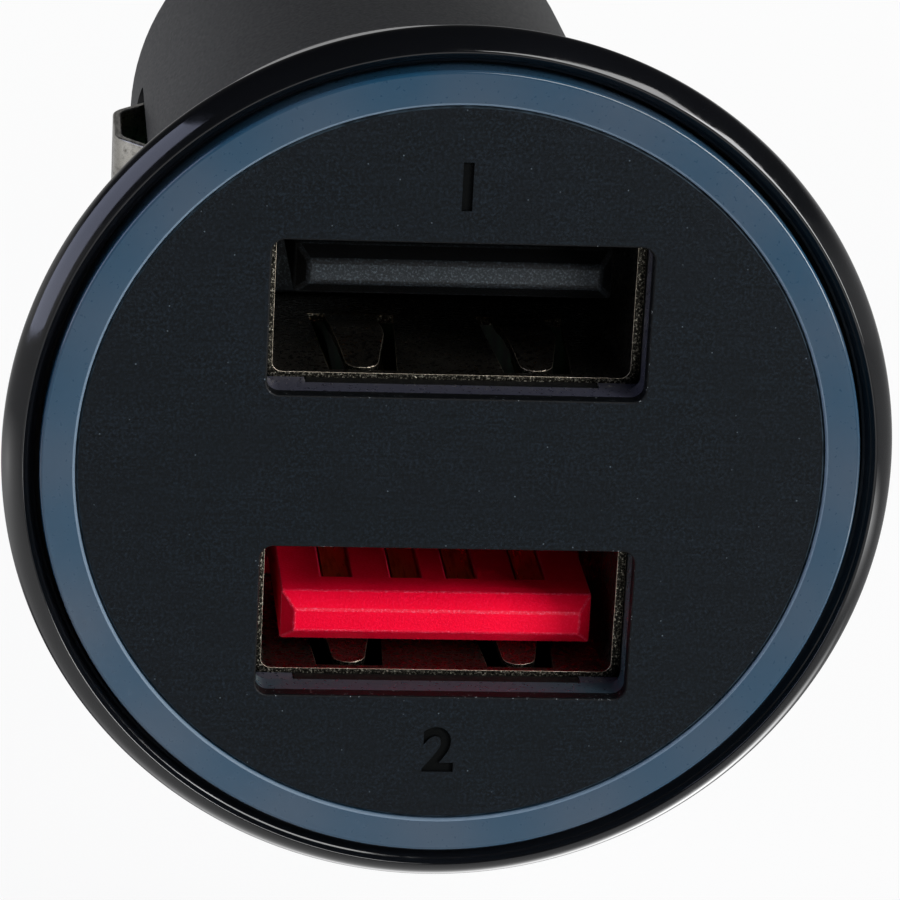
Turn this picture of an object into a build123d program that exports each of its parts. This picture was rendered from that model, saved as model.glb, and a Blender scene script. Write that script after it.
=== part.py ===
"""In-car charger with two USB-A ports, for a 12 V accessory socket.

The axis of the charger is the Y axis. The face with the two ports looks along -Y and the nose of
the plug points along +Y. The upper port is on the +Z side. The origin is the centre of the
shoulder, the flat ring that stops against the mouth of the socket. All lengths are millimetres.

Inside the head, places along the axis are depths behind the front of the face plate.
"""

import os
from math import cos, hypot, radians, sin, sqrt

from build123d import *

# Ports: two receptacles, the lower one turned half round about the axis
port_spacing = 11.0
port_drop = 0.1
opening_margin_width = 0.275
opening_margin_height = 0.19
opening_corner_radius = 0.45
shell_inner_width = 12.5
shell_inner_height = 5.12
shell_inner_radius = 0.35
sheet_thickness = 0.3
shell_length = 12.0
shell_leg_width = 1.8
shell_leg_length = 1.1
leg_gap = 0.1

# Spring fingers cut from the broad walls of each receptacle
finger_edge_width = 3.19
finger_tip_depth = 0.6
finger_length = 6.4
finger_tip_width = 1.2
finger_root_width = 1.9
finger_slot_width = 0.6
finger_bow_height = 0.5
finger_corner_width = 0.3

# Insulator, its tongue and the contact strips
tongue_recess_depth = 0.45
tongue_side_width = 0.7
tongue_thickness = 1.84
tongue_gap = 0.72
tongue_bevel_height = 0.52
tongue_bevel_depth = 0.62
tongue_bevel_width = 0.45
insulator_base_length = 2.6
insulator_gap = 0.05
contact_inner_pitch = 2.0
contact_outer_pitch = 7.0
contact_width = 0.92
contact_thickness = 0.25
contact_front_depth = 2.5
channel_depth = 0.32
channel_gap = 0.09
contact_tail_length = 1.8
tail_gap = 0.1

# Face plate, light guide and head, from the corners of the port openings outwards
face_margin_width = 2.353
plate_thickness = 0.55
plate_gap = 0.03
ring_width = 1.22
ring_proud_height = 0.1
ring_bevel_width = 0.12
groove_width = 0.3
guide_web_thickness = 0.95
frame_thickness = 0.6
frame_gap = 0.05
lug_length = 1.4
lug_height = 0.5
lug_gap = 0.05
crest_width = 0.3
crest_drop_depth = 0.18
rim_width = 0.7
rim_depth = 0.85
head_wall_thickness = 1.0
waist_margin_width = 1.487
shoulder_width = 1.35
shoulder_edge_width = 0.3
rear_wall_thickness = 1.2

# Lamp board, lamps and the windows in the frame
lamp_count = 16
lamp_length = 1.2
lamp_width = 0.8
lamp_height = 0.5
lamp_edge_width = 0.1
window_gap = 0.1
seat_step_width = 0.5
led_board_thickness = 0.8
led_board_gap = 0.1
cutout_gap = 0.15

# Plug barrel
root_diameter = 20.8
root_step_width = 0.2
root_gap = 2.6
hole_gap = 0.05
barrel_wall_thickness = 1.3
barrel_length = 35.5
barrel_taper_length = 3.5
barrel_taper_height = 1.3
flange_thickness = 1.0

# Sprung earth contacts on the two sides of the barrel
side_slot_margin_length = 5.6
side_slot_length = 12.8
side_slot_radius = 0.8
side_contact_width = 5.0
side_contact_thickness = 0.35
side_contact_proud_height = 1.0
side_contact_travel_length = 1.0
side_contact_gap = 0.2
side_contact_tab_length = 2.0
side_contact_seat_gap = 0.12

# Circuit boards
port_board_thickness = 1.2
board_gap = 0.1
main_board_thickness = 1.2
main_board_side_gap = 0.37
main_board_setback_length = 7.5

# Nose cap, centre contact, spring and terminal
thread_wall_thickness = 1.4
thread_length = 3.5
thread_gap = 0.05
cap_length = 6.0
cap_band_length = 1.0
cap_tip_height = 2.0
cap_end_thickness = 1.2
cap_edge_width = 0.6
flute_count = 12
flute_width = 1.2
flute_depth = 0.35
plunger_diameter = 4.6
plunger_gap = 0.2
plunger_reach_length = 4.5
plunger_dome_height = 1.5
plunger_flange_ratio = 0.6133
plunger_flange_thickness = 1.2
plunger_stem_length = 4.0
plunger_rest_gap = 0.1
plunger_flange_gap = 0.3
spring_wire_diameter = 0.6
spring_wire_facets = 5
spring_turns = 4.5
spring_ratio = 0.7174
stem_ratio = 0.6667
spring_end_gap = 0.05
terminal_ratio = 0.9565
terminal_thickness = 0.9
terminal_leg_width = 5.0
terminal_leg_thickness = 0.5
terminal_leg_gap = 0.05

# Parts on the main board. The board has 14 bays of equal length; each ratio and place counts bays.
board_bays = 14
power_coil_ratio = 3.5
power_coil_place_ratio = 2.75
power_coil_height = 4.2
output_coil_ratio = 3.0
output_coil_place_ratio = 4.5
output_coil_width = 6.0
output_coil_height = 3.0
coil_corner_width = 0.9
capacitor_ratio = 2.5
capacitor_place_ratios = (6.75, 9.75)
input_capacitor_place_ratio = 8.1
capacitor_top_gap = 1.74
capacitor_base_height = 0.8
chip_ratio = 1.9
chip_place_ratios = (0.9, 1.75)
chip_width = 4.0
chip_height = 0.8
chip_gap = 0.45
transistor_ratio = 2.5
transistor_place_ratio = 10.75
transistor_width = 4.2
transistor_height = 1.0
transistor_gap = 0.6
ceramic_ratio = 1.0
ceramic_step_ratio = 1.5
ceramic_width = 1.25
ceramic_height = 0.9
ceramic_edge_width = 1.7
ceramic_gap = 0.875
ceramic_count = 4
resistor_ratio = 0.8
resistor_place_ratio = 4.5
resistor_step_ratio = 1.1
resistor_width = 0.8
resistor_height = 0.45
resistor_edge_width = 1.1
resistor_count = 4
pin_width = 0.6
pin_pitch = 2.54
pin_count = 4

# Depths behind the face, worked out from the stack of pieces in the head
guide_back = plate_thickness + guide_web_thickness
shell_front = guide_back + frame_thickness
led_board_back = shell_front + led_board_thickness
port_board_front = shell_front + shell_length
port_board_back = port_board_front + port_board_thickness
flange_back = port_board_back + flange_thickness
head_length = flange_back + rear_wall_thickness

# Sizes of the ports and radii of the face, the light ring and the head
shell_width = shell_inner_width + 2 * sheet_thickness
shell_height = shell_inner_height + 2 * sheet_thickness
opening_width = shell_inner_width + 2 * opening_margin_width
opening_height = shell_inner_height + 2 * opening_margin_height
tongue_width = shell_inner_width - 2 * tongue_side_width
port_reach = port_spacing / 2 + port_drop
face_radius = hypot(opening_width / 2, port_reach + opening_height / 2) + face_margin_width
ring_inner_radius = face_radius + plate_gap
ring_radius = ring_inner_radius + ring_width
bezel_radius = ring_radius + groove_width
crest_radius = bezel_radius + crest_width
head_radius = crest_radius + rim_width
waist_radius = hypot(shell_width / 2, port_reach + shell_height / 2) + waist_margin_width
shoulder_radius = root_diameter / 2 + shoulder_width
seat_radius = bezel_radius - seat_step_width
led_board_radius = seat_radius - led_board_gap
lamp_radius = led_board_radius - lamp_edge_width - lamp_length / 2

# Sizes of the barrel and of what it holds
root_radius = root_diameter / 2
barrel_radius = root_radius - root_step_width
bore_radius = barrel_radius - barrel_wall_thickness
side_slot_end = barrel_length - barrel_taper_length - side_slot_margin_length
side_slot_start = side_slot_end - side_slot_length
root_length = side_slot_start - root_gap
side_seat = sqrt(bore_radius**2 - (side_contact_width / 2) ** 2) - side_contact_seat_gap
main_board_reach = side_seat - side_contact_thickness - side_contact_travel_length - main_board_side_gap
main_board_end = barrel_length - main_board_setback_length
bay = main_board_end / board_bays

# Sizes of the nose
cap_radius = barrel_radius - barrel_taper_height
thread_radius = cap_radius - thread_wall_thickness
cap_end = barrel_length + cap_length
cap_face = cap_end - cap_end_thickness
plunger_tip = cap_end + plunger_reach_length
flange_face = cap_face - plunger_rest_gap
plunger_flange_radius = plunger_flange_ratio * thread_radius
spring_radius = spring_ratio * plunger_flange_radius
stem_radius = stem_ratio * spring_radius
terminal_radius = terminal_ratio * plunger_flange_radius
terminal_face = main_board_end + terminal_thickness + terminal_leg_gap


def axial(depth):
    """Place along the Y axis of a depth behind the face."""
    return depth - head_length


def between(depth, first, second):
    """Radius at a depth on the straight line between two points of depth and radius."""
    share = (depth - first[0]) / (second[0] - first[0])
    return first[1] + share * (second[1] - first[1])


def cavity_radius(depth):
    """Inner radius of the flared head at a depth behind the face."""
    rim = (rim_depth, head_radius - head_wall_thickness)
    waist = (port_board_back, waist_radius - head_wall_thickness)
    shoulder = (head_length - shoulder_edge_width, shoulder_radius - head_wall_thickness)
    if depth <= port_board_back:
        return between(depth, rim, waist)
    return between(depth, waist, shoulder)


def turned(outline):
    """Solid turned about the Y axis from a closed outline of radius and place along the axis."""
    return revolve(make_face(outline), Axis.Y)


def slab(sketch, start, end):
    """Prism of an X-Z sketch between two places along the Y axis."""
    back = Plane(origin=(0, end, 0), x_dir=(1, 0, 0), z_dir=(0, -1, 0))
    return extrude(back * sketch, amount=end - start)


def box(size, centre):
    """Box with its edges along the axes."""
    return Pos(*centre) * Box(*size)


def at_ports(shape):
    """The same solid at the upper port and, turned half round, at the lower port."""
    half = port_spacing / 2
    upper = Pos(0, 0, half - port_drop) * shape
    lower = Pos(0, 0, -half - port_drop) * Rot(0, 180, 0) * shape
    return upper, lower


def port_openings(width, height):
    """Sketch of the two rounded rectangles at the ports."""
    half = port_spacing / 2
    outline = RectangleRounded(width, height, opening_corner_radius)
    return Pos(0, half - port_drop) * outline + Pos(0, -half - port_drop) * outline


def corner_lugs(gap):
    """Sketch of the lugs past the upper and lower edge of both openings, at their ends."""
    half = port_spacing / 2
    tall = opening_height + 2 * (lug_height + gap)
    sketch = Sketch()
    for centre in (half - port_drop, -half - port_drop):
        for side in (-1, 1):
            across = side * (opening_width - lug_length) / 2
            sketch += Pos(across, centre) * Rectangle(lug_length + 2 * gap, tall)
    return sketch


def head_housing():
    """Flared shell: bezel crest, seat for the frame, inner cone and the rear wall with its hole."""
    rim = (rim_depth, head_radius - head_wall_thickness)
    waist = (port_board_back, waist_radius - head_wall_thickness)
    share = (rim[1] - seat_radius) / (rim[1] - waist[1])
    cone_start = max(rim_depth + share * (port_board_back - rim_depth), led_board_back)
    hole = root_radius + hole_gap
    outline = Polyline(
        (crest_radius, axial(0)),
        (head_radius, axial(rim_depth)),
        (waist_radius, axial(port_board_back)),
        (shoulder_radius, axial(head_length - shoulder_edge_width)),
        (shoulder_radius - shoulder_edge_width, 0),
        (hole, 0),
        (hole, axial(flange_back)),
        (cavity_radius(flange_back), axial(flange_back)),
        (cavity_radius(port_board_back), axial(port_board_back)),
        (seat_radius, axial(cone_start)),
        (seat_radius, axial(shell_front)),
        (bezel_radius, axial(shell_front)),
        (bezel_radius, axial(crest_drop_depth)),
        close=True,
    )
    return turned(outline)


def face_plate():
    """Thin round plate with the two port openings."""
    outline = Circle(face_radius) - port_openings(opening_width, opening_height)
    return slab(outline, axial(0), axial(plate_thickness))


def light_guide():
    """Disc behind the plate with a raised bevelled rim, the port openings and corner lugs."""
    proud = axial(-ring_proud_height)
    outline = Polyline(
        (0, axial(plate_thickness)),
        (ring_inner_radius, axial(plate_thickness)),
        (ring_inner_radius, proud),
        (ring_radius - ring_bevel_width, proud),
        (ring_radius, proud + ring_bevel_width),
        (ring_radius, axial(guide_back)),
        (0, axial(guide_back)),
        close=True,
    )
    lugs = slab(corner_lugs(0), axial(guide_back), axial(shell_front))
    openings = port_openings(opening_width, opening_height)
    return turned(outline) + lugs - slab(openings, axial(0), axial(shell_front))


def front_frame():
    """Black disc behind the light guide with the port openings and a window for each lamp."""
    outline = Circle(bezel_radius - frame_gap) - port_openings(opening_width, opening_height)
    outline -= corner_lugs(lug_gap)
    window = Rectangle(lamp_length + 2 * window_gap, lamp_width + 2 * window_gap)
    outline -= PolarLocations(lamp_radius, lamp_count) * window
    return slab(outline, axial(guide_back), axial(shell_front))


def led_board():
    """Round lamp board with cut-outs that the receptacles pass through."""
    gap = 2 * cutout_gap
    outline = Circle(led_board_radius) - port_openings(shell_width + gap, shell_height + gap)
    return slab(outline, axial(shell_front), axial(led_board_back))


def leds():
    """Lamps on the front of the lamp board, one in each window of the frame."""
    lamps = PolarLocations(lamp_radius, lamp_count) * Rectangle(lamp_length, lamp_width)
    return slab(Sketch() + lamps, axial(shell_front - lamp_height), axial(shell_front))


def led_board_pins():
    """Pin row between the lamp board and the port board, in the gap between the receptacles."""
    length = port_board_front - led_board_back
    middle = axial(led_board_back) + length / 2
    first = -pin_pitch * (pin_count - 1) / 2
    size = (pin_width, length, pin_width)
    pins = [box(size, (first + pin_pitch * step, middle, -port_drop)) for step in range(pin_count)]
    return Compound(children=pins)


def port_board():
    """Round board at the back of the head, slotted for the contact tails and shell legs."""
    slots = Sketch() + receptacle_slots()
    half = port_spacing / 2
    outline = Circle(cavity_radius(port_board_back) - board_gap)
    outline -= Pos(0, half - port_drop) * slots
    outline -= Pos(0, -half - port_drop) * Rot(0, 0, 180) * slots
    return slab(outline, axial(port_board_front), axial(port_board_back))


def contact_columns():
    """Places across the tongue of the four contact strips."""
    outer = contact_outer_pitch / 2
    inner = contact_inner_pitch / 2
    return (-outer, -inner, inner, outer)


def tongue_top():
    """Height of the outer side of the tongue above the middle of the port."""
    return shell_inner_height / 2 - tongue_gap


def contact_height():
    """Height of the middle of a contact strip above the middle of the port."""
    return tongue_top() - tongue_thickness + channel_depth - contact_thickness / 2


def receptacle_slots():
    """Sketch of the slots that the tails and legs of one receptacle pass through."""
    tail = Rectangle(contact_width + 2 * tail_gap, contact_thickness + 2 * tail_gap)
    slots = [Pos(x, contact_height()) * tail for x in contact_columns()]
    leg = Rectangle(sheet_thickness + 2 * leg_gap, shell_leg_width + 2 * leg_gap)
    for side in (-1, 1):
        slots.append(Pos(side * (shell_width - sheet_thickness) / 2, 0) * leg)
    return slots


def finger_plan(margin):
    """Plan of one spring finger, wider all round by the margin except at its root."""
    front = finger_tip_depth - margin
    back = finger_tip_depth + finger_length
    tip = finger_tip_width / 2 + margin
    root = finger_root_width / 2 + margin
    face = make_face(Polyline((-tip, front), (tip, front), (root, back), (-root, back), close=True))
    return chamfer(face.vertices().sort_by(Axis.Y)[:2], finger_corner_width)


def finger_strip(side):
    """Bowed strip of sheet as wide as a finger's window, before its plan is cut."""
    outer = side * shell_height / 2
    inner = side * shell_inner_height / 2
    bow = side * finger_bow_height
    bends = [(0, 0), (0.12, 0.45), (0.3, 1), (0.45, 1), (0.72, 0.45), (1, 0)]
    places = [(finger_tip_depth + share * finger_length, part * bow) for share, part in bends]
    far = [(place, outer - drop) for place, drop in places]
    near = [(place, inner - drop) for place, drop in places]
    outline = make_face(Polyline(*far, *reversed(near), close=True))
    width = finger_root_width + 2 * finger_slot_width
    return extrude(Plane.YZ * outline, amount=width / 2, both=True)


def receptacle_shell():
    """Folded sheet tube with two bowed fingers in each broad wall and two solder legs.

    The mouth is at y = 0 and the tongue side is +Z.
    """
    outer_radius = shell_inner_radius + sheet_thickness
    section = RectangleRounded(shell_width, shell_height, outer_radius)
    section -= RectangleRounded(shell_inner_width, shell_inner_height, shell_inner_radius)
    shell = slab(section, 0, shell_length)
    offset_across = shell_inner_width / 2 - finger_edge_width
    window = extrude(finger_plan(finger_slot_width), amount=shell_height / 2, both=True)
    plan = extrude(finger_plan(0), amount=shell_height, both=True)
    leg = (sheet_thickness, shell_leg_length, shell_leg_width)
    for side in (-1, 1):
        finger = finger_strip(side) & plan
        for across in (-offset_across, offset_across):
            shell -= Pos(across, 0, side * shell_inner_height / 2) * window
            shell += Pos(across, 0, 0) * finger
        place = side * (shell_width - sheet_thickness) / 2
        shell += box(leg, (place, shell_length + shell_leg_length / 2, 0))
    return shell


def insulator():
    """Moulded base that fills the back of the shell, and the bevelled tongue with four channels."""
    gap = 2 * insulator_gap
    section = RectangleRounded(shell_inner_width - gap, shell_inner_height - gap, shell_inner_radius)
    base = slab(section, shell_length - insulator_base_length, shell_length)
    bottom = tongue_top() - tongue_thickness
    middle = tongue_top() - tongue_thickness / 2
    bevel_end = tongue_recess_depth + tongue_bevel_depth
    root = Rectangle(tongue_width, tongue_thickness)
    tip = Rectangle(tongue_width - 2 * tongue_bevel_width, tongue_thickness - 2 * tongue_bevel_height)
    tip_plane = Plane(origin=(0, tongue_recess_depth, middle), x_dir=(1, 0, 0), z_dir=(0, 1, 0))
    root_plane = Plane(origin=(0, bevel_end, middle), x_dir=(1, 0, 0), z_dir=(0, 1, 0))
    shape = base + slab(Pos(0, middle) * root, bevel_end, shell_length)
    shape += loft([tip_plane * tip, root_plane * root])
    length = shell_length - contact_front_depth
    channel = (contact_width + 2 * channel_gap, length, 2 * channel_depth)
    for across in contact_columns():
        shape -= box(channel, (across, contact_front_depth + length / 2, bottom))
    return shape


def contacts():
    """Four flat contact strips that lie in the channels, with tails through the port board."""
    start = contact_front_depth + channel_gap
    end = shell_length + contact_tail_length
    size = (contact_width, end - start, contact_thickness)
    strips = [box(size, (across, (start + end) / 2, contact_height())) for across in contact_columns()]
    return Compound(children=strips)


def main_board():
    """Converter board from the back of the port board to the terminal."""
    start = axial(port_board_back)
    size = (2 * main_board_reach, main_board_end - start, main_board_thickness)
    return box(size, (0, (start + main_board_end) / 2, 0))


def barrel_housing():
    """Plug barrel: clamped flange, root that fits the socket, slotted body and tapered end."""
    flange = cavity_radius(flange_back) - board_gap
    thread = thread_radius + thread_gap
    shelf = barrel_length - thread_length
    shell = turned(
        Polyline(
            (bore_radius, axial(port_board_back)),
            (flange, axial(port_board_back)),
            (flange, axial(flange_back)),
            (barrel_radius, axial(flange_back)),
            (barrel_radius, 0),
            (root_radius, 0),
            (root_radius, root_length),
            (barrel_radius, root_length + root_step_width),
            (barrel_radius, barrel_length - barrel_taper_length),
            (cap_radius, barrel_length),
            (thread, barrel_length),
            (thread, shelf),
            (bore_radius, shelf - bore_radius + thread),
            close=True,
        )
    )
    width = side_contact_width + 2 * side_contact_gap
    outline = RectangleRounded(width, side_slot_length, side_slot_radius)
    middle = (side_slot_start + side_slot_end) / 2
    plane = Plane(origin=(0, middle, 0), x_dir=(0, 0, 1), z_dir=(1, 0, 0))
    return shell - extrude(plane * outline, amount=root_diameter, both=True)


def side_contact():
    """Bowed leaf on the +X side: two tabs inside the barrel and a bow that stands through the slot."""
    tab = side_seat - side_contact_thickness / 2
    crest = barrel_radius + side_contact_proud_height - side_contact_thickness / 2
    middle = (side_slot_start + side_slot_end) / 2
    reach = side_slot_length / 2
    path = Polyline(
        (tab, middle - reach - side_contact_tab_length),
        (tab, middle - reach + side_slot_radius),
        (crest, middle - reach / 3),
        (crest, middle + reach / 3),
        (tab, middle + reach - side_slot_radius),
        (tab, middle + reach + side_contact_tab_length),
    )
    bends = fillet(path.vertices().sort_by(Axis.Y)[1:-1], side_contact_thickness * 3)
    leaf = offset(bends, amount=side_contact_thickness / 2, side=Side.BOTH)
    return extrude(make_face(leaf.edges()), amount=side_contact_width / 2, both=True)


def nose_cap():
    """Screwed cap with a fluted band and a hole that guides the centre contact."""
    guide = plunger_flange_radius + plunger_flange_gap
    hole = plunger_diameter / 2 + plunger_gap
    inner_end = barrel_length - thread_length + thread_gap
    tip_radius = thread_radius - cap_tip_height
    cap = turned(
        Polyline(
            (guide, inner_end),
            (thread_radius, inner_end),
            (thread_radius, barrel_length),
            (cap_radius, barrel_length),
            (cap_radius, barrel_length + cap_band_length),
            (tip_radius + cap_edge_width, cap_end - cap_edge_width),
            (tip_radius, cap_end),
            (hole, cap_end),
            (hole, cap_face),
            (guide, cap_face),
            close=True,
        )
    )
    ring = PolarLocations(cap_radius, flute_count) * Rectangle(2 * flute_depth, flute_width)
    return cap - slab(Sketch() + ring, barrel_length, cap_end)


def centre_contact():
    """Turned plunger: domed tip, flange that stops in the cap and a stem inside the spring."""
    radius = plunger_diameter / 2
    dome = plunger_tip - plunger_dome_height
    flange_end = flange_face - plunger_flange_thickness
    curve = [
        (radius * sin(radians(turn)), dome + plunger_dome_height * cos(radians(turn)))
        for turn in (65, 40, 20)
    ]
    outline = Polyline(
        (0, plunger_tip),
        (0, flange_end - plunger_stem_length),
        (stem_radius, flange_end - plunger_stem_length),
        (stem_radius, flange_end),
        (plunger_flange_radius, flange_end),
        (plunger_flange_radius, flange_face),
        (radius, flange_face),
        (radius, dome),
        *curve,
        close=True,
    )
    return turned(outline)


def contact_spring():
    """Coil between the terminal and the plunger's flange."""
    wire = spring_wire_diameter / 2
    start = terminal_face + spring_end_gap + wire
    end = flange_face - plunger_flange_thickness - spring_end_gap - wire
    helix = Helix((end - start) / spring_turns, end - start, spring_radius)
    section = Plane(origin=helix @ 0, z_dir=helix % 0) * RegularPolygon(wire, spring_wire_facets)
    coil = sweep(section, path=helix, is_frenet=True)
    return Pos(0, start, 0) * Rot(-90, 0, 0) * coil


def positive_terminal():
    """Round plate that the spring stands on, with two legs that grip the end of the main board."""
    middle = terminal_face - terminal_thickness / 2
    plate = Pos(0, middle, 0) * Rot(90, 0, 0) * Cylinder(terminal_radius, terminal_thickness)
    height = main_board_thickness / 2 + terminal_leg_gap + terminal_leg_thickness / 2
    length = 2 * bay
    size = (terminal_leg_width, length, terminal_leg_thickness)
    for side in (-1, 1):
        plate += box(size, (0, terminal_face - terminal_thickness - length / 2, side * height))
    return plate


def coil_block(width, length, height, place, side):
    """Shielded inductor with its corners cut, standing on one side of the main board."""
    outline = Rectangle(width, length)
    outline = chamfer(outline.vertices(), coil_corner_width)
    base = Pos(0, place, side * main_board_thickness / 2)
    return base * extrude(outline, amount=side * height)


def power_inductor():
    """Inductor on the upper side of the board, between the rows of ceramic capacitors."""
    width = 2 * (main_board_reach - ceramic_edge_width - ceramic_width / 2 - ceramic_gap)
    place = power_coil_place_ratio * bay
    return coil_block(width, power_coil_ratio * bay, power_coil_height, place, 1)


def output_inductor():
    """Inductor on the underside of the board."""
    place = output_coil_place_ratio * bay
    return coil_block(output_coil_width, output_coil_ratio * bay, output_coil_height, place, -1)


def capacitors():
    """Three round cans on square bases, two on the upper side of the board and one below."""
    radius = capacitor_ratio * bay / 2
    room = sqrt(bore_radius**2 - radius**2) - main_board_thickness / 2
    places = [(ratio * bay, 1) for ratio in capacitor_place_ratios]
    cans = []
    for place, side in [*places, (input_capacitor_place_ratio * bay, -1)]:
        square = Rectangle(2 * radius, 2 * radius)
        base = chamfer(square.vertices(), capacitor_base_height)
        can = extrude(base, amount=side * capacitor_base_height)
        can += extrude(Circle(radius), amount=side * (room - capacitor_top_gap))
        cans.append(Pos(0, place, side * main_board_thickness / 2) * can)
    return Compound(children=cans)


def board_blocks(size, places, side):
    """Equal blocks on one side of the main board."""
    height = side * (main_board_thickness + size[2]) / 2
    return Compound(children=[box(size, (across, place, height)) for across, place in places])


def controller_chips():
    """Two square controllers on the underside of the board, near the ports."""
    across = chip_width / 2 + chip_gap
    places = [(-across, chip_place_ratios[0] * bay), (across, chip_place_ratios[1] * bay)]
    return board_blocks((chip_width, chip_ratio * bay, chip_height), places, -1)


def power_transistors():
    """Two switching transistors on the underside of the board, near the nose."""
    across = (transistor_width + 2 * transistor_gap) / 2
    places = [(side * across, transistor_place_ratio * bay) for side in (-1, 1)]
    return board_blocks((transistor_width, transistor_ratio * bay, transistor_height), places, -1)


def ceramic_capacitors():
    """Two rows of small ceramic capacitors beside the power inductor."""
    across = main_board_reach - ceramic_edge_width
    steps = [ceramic_step_ratio * bay * (step + 1) for step in range(ceramic_count)]
    places = [(side * across, place) for place in steps for side in (-1, 1)]
    return board_blocks((ceramic_width, ceramic_ratio * bay, ceramic_height), places, 1)


def chip_resistors():
    """Row of small resistors on the underside of the board."""
    across = resistor_edge_width - main_board_reach
    first = resistor_place_ratio
    places = [(across, (first + resistor_step_ratio * step) * bay) for step in range(resistor_count)]
    return board_blocks((resistor_width, resistor_ratio * bay, resistor_height), places, -1)


def build():
    """Every piece in its own named file."""
    mouth = Pos(0, axial(shell_front), 0)
    upper_shell, lower_shell = at_ports(mouth * receptacle_shell())
    upper_body, lower_body = at_ports(mouth * insulator())
    upper_strips, lower_strips = at_ports(mouth * contacts())
    leaf = side_contact()
    pieces = {
        "head_housing": head_housing(),
        "face_plate": face_plate(),
        "light_guide": light_guide(),
        "front_frame": front_frame(),
        "led_board": led_board(),
        "leds": leds(),
        "led_board_pins": led_board_pins(),
        "port_board": port_board(),
        "upper_receptacle_shell": upper_shell,
        "lower_receptacle_shell": lower_shell,
        "upper_insulator": upper_body,
        "lower_insulator": lower_body,
        "upper_contacts": upper_strips,
        "lower_contacts": lower_strips,
        "main_board": main_board(),
        "power_inductor": power_inductor(),
        "output_inductor": output_inductor(),
        "capacitors": capacitors(),
        "controller_chips": controller_chips(),
        "power_transistors": power_transistors(),
        "ceramic_capacitors": ceramic_capacitors(),
        "chip_resistors": chip_resistors(),
        "barrel_housing": barrel_housing(),
        "side_contact_right": leaf,
        "side_contact_left": Rot(0, 180, 0) * leaf,
        "positive_terminal": positive_terminal(),
        "contact_spring": contact_spring(),
        "centre_contact": centre_contact(),
        "nose_cap": nose_cap(),
    }
    os.makedirs("parts", exist_ok=True)
    for name, piece in pieces.items():
        export_step(piece, f"parts/{name}.step")


build()
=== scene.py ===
"""Looks of the in-car charger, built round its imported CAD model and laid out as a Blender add-on.

Lengths in the property groups are metres. In the shape functions below they are millimetres, in the
frame of the CAD model: the face looks along -Y, the nose of the plug points along +Y, and the
upper port is on the +Z side.
"""

import math

import bmesh
import bpy
import numpy as np
from mathutils import Matrix, Vector


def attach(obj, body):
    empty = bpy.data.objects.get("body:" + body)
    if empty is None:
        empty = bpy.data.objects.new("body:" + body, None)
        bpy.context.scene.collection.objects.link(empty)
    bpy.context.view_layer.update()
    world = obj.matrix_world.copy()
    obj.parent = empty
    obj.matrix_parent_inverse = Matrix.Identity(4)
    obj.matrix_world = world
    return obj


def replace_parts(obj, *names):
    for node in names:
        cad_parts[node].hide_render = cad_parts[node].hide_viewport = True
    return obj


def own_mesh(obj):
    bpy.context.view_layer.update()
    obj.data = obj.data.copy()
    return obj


bl_info = {
    "name": "In-car charger",
    "version": (1, 0, 0),
    "blender": (4, 5, 0),
    "location": "3D View > Sidebar > Charger",
    "description": "Builds the face, ports, head and plug of an in-car charger over its CAD model",
    "category": "Add Mesh",
}

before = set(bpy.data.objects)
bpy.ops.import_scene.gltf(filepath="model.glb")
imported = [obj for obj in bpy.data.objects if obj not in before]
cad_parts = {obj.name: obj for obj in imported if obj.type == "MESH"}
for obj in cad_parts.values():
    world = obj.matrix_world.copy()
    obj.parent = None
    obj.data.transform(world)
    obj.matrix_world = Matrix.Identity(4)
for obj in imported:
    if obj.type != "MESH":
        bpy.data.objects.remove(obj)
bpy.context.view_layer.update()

MM = 0.001

# Places shared with the CAD model, in millimetres: front of the head, axes of the two ports, thickness
# of the face plate, and front and back of the light guide's disc behind the front of the head
FRONT = -17.5
UPPER = 5.4
LOWER = -5.6
PLATE = 0.55
GUIDE_FRONT = 0.56
GUIDE_BACK = 1.5

# Width, height and corner radius of the openings and of the shells' inside, in millimetres
OPENING = (13.05, 5.5, 0.45)
SHELL_INNER = (12.5, 5.12, 0.35)

# Shells of the ports, in millimetres: mouth behind the front of the head, length, sheet, middle of a
# spring finger from the port's axis, front of its window, and its tip and root behind the mouth
SHELL_MOUTH = 2.1
SHELL_LENGTH = 12.0
SHEET = 0.3
FINGER_MIDDLE = 3.06
WINDOW_FRONT = 0.35
FINGER_TIP = 0.6
FINGER_ROOT = 7.0

# Steps round the head and the light ring, and round the face plate
ROUND_STEPS = 384
PLATE_STEPS = 360


def colour(code):
    """Linear colour of an sRGB hex code: each share c becomes ((c + 0.055) / 1.055) to the 2.4."""
    share = np.array([int(code[i : i + 2], 16) / 255 for i in (1, 3, 5)])
    linear = np.where(share <= 0.04045, share / 12.92, ((share + 0.055) / 1.055) ** 2.4)
    return (*linear.tolist(), 1.0)


# Meshes


def placed(name, data):
    """Object of the data, linked to the scene."""
    made = bpy.data.objects.new(name, data)
    bpy.context.scene.collection.objects.link(made)
    return made


def add_materials(mesh, *finishes):
    """Gives a mesh its materials, in their order."""
    for finish in finishes:
        mesh.materials.append(finish)


def set_faces(mesh, key, values, kind=np.int32):
    """Sets one value for all faces of a mesh, or one for each."""
    mesh.polygons.foreach_set(key, np.full(len(mesh.polygons), values, kind))


def vectors(items, key):
    """Array of a vector of each face or vertex, such as its centre, normal or place."""
    values = np.zeros(len(items) * 3, np.float32)
    items.foreach_get(key, values)
    return values.reshape(-1, 3)


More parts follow.
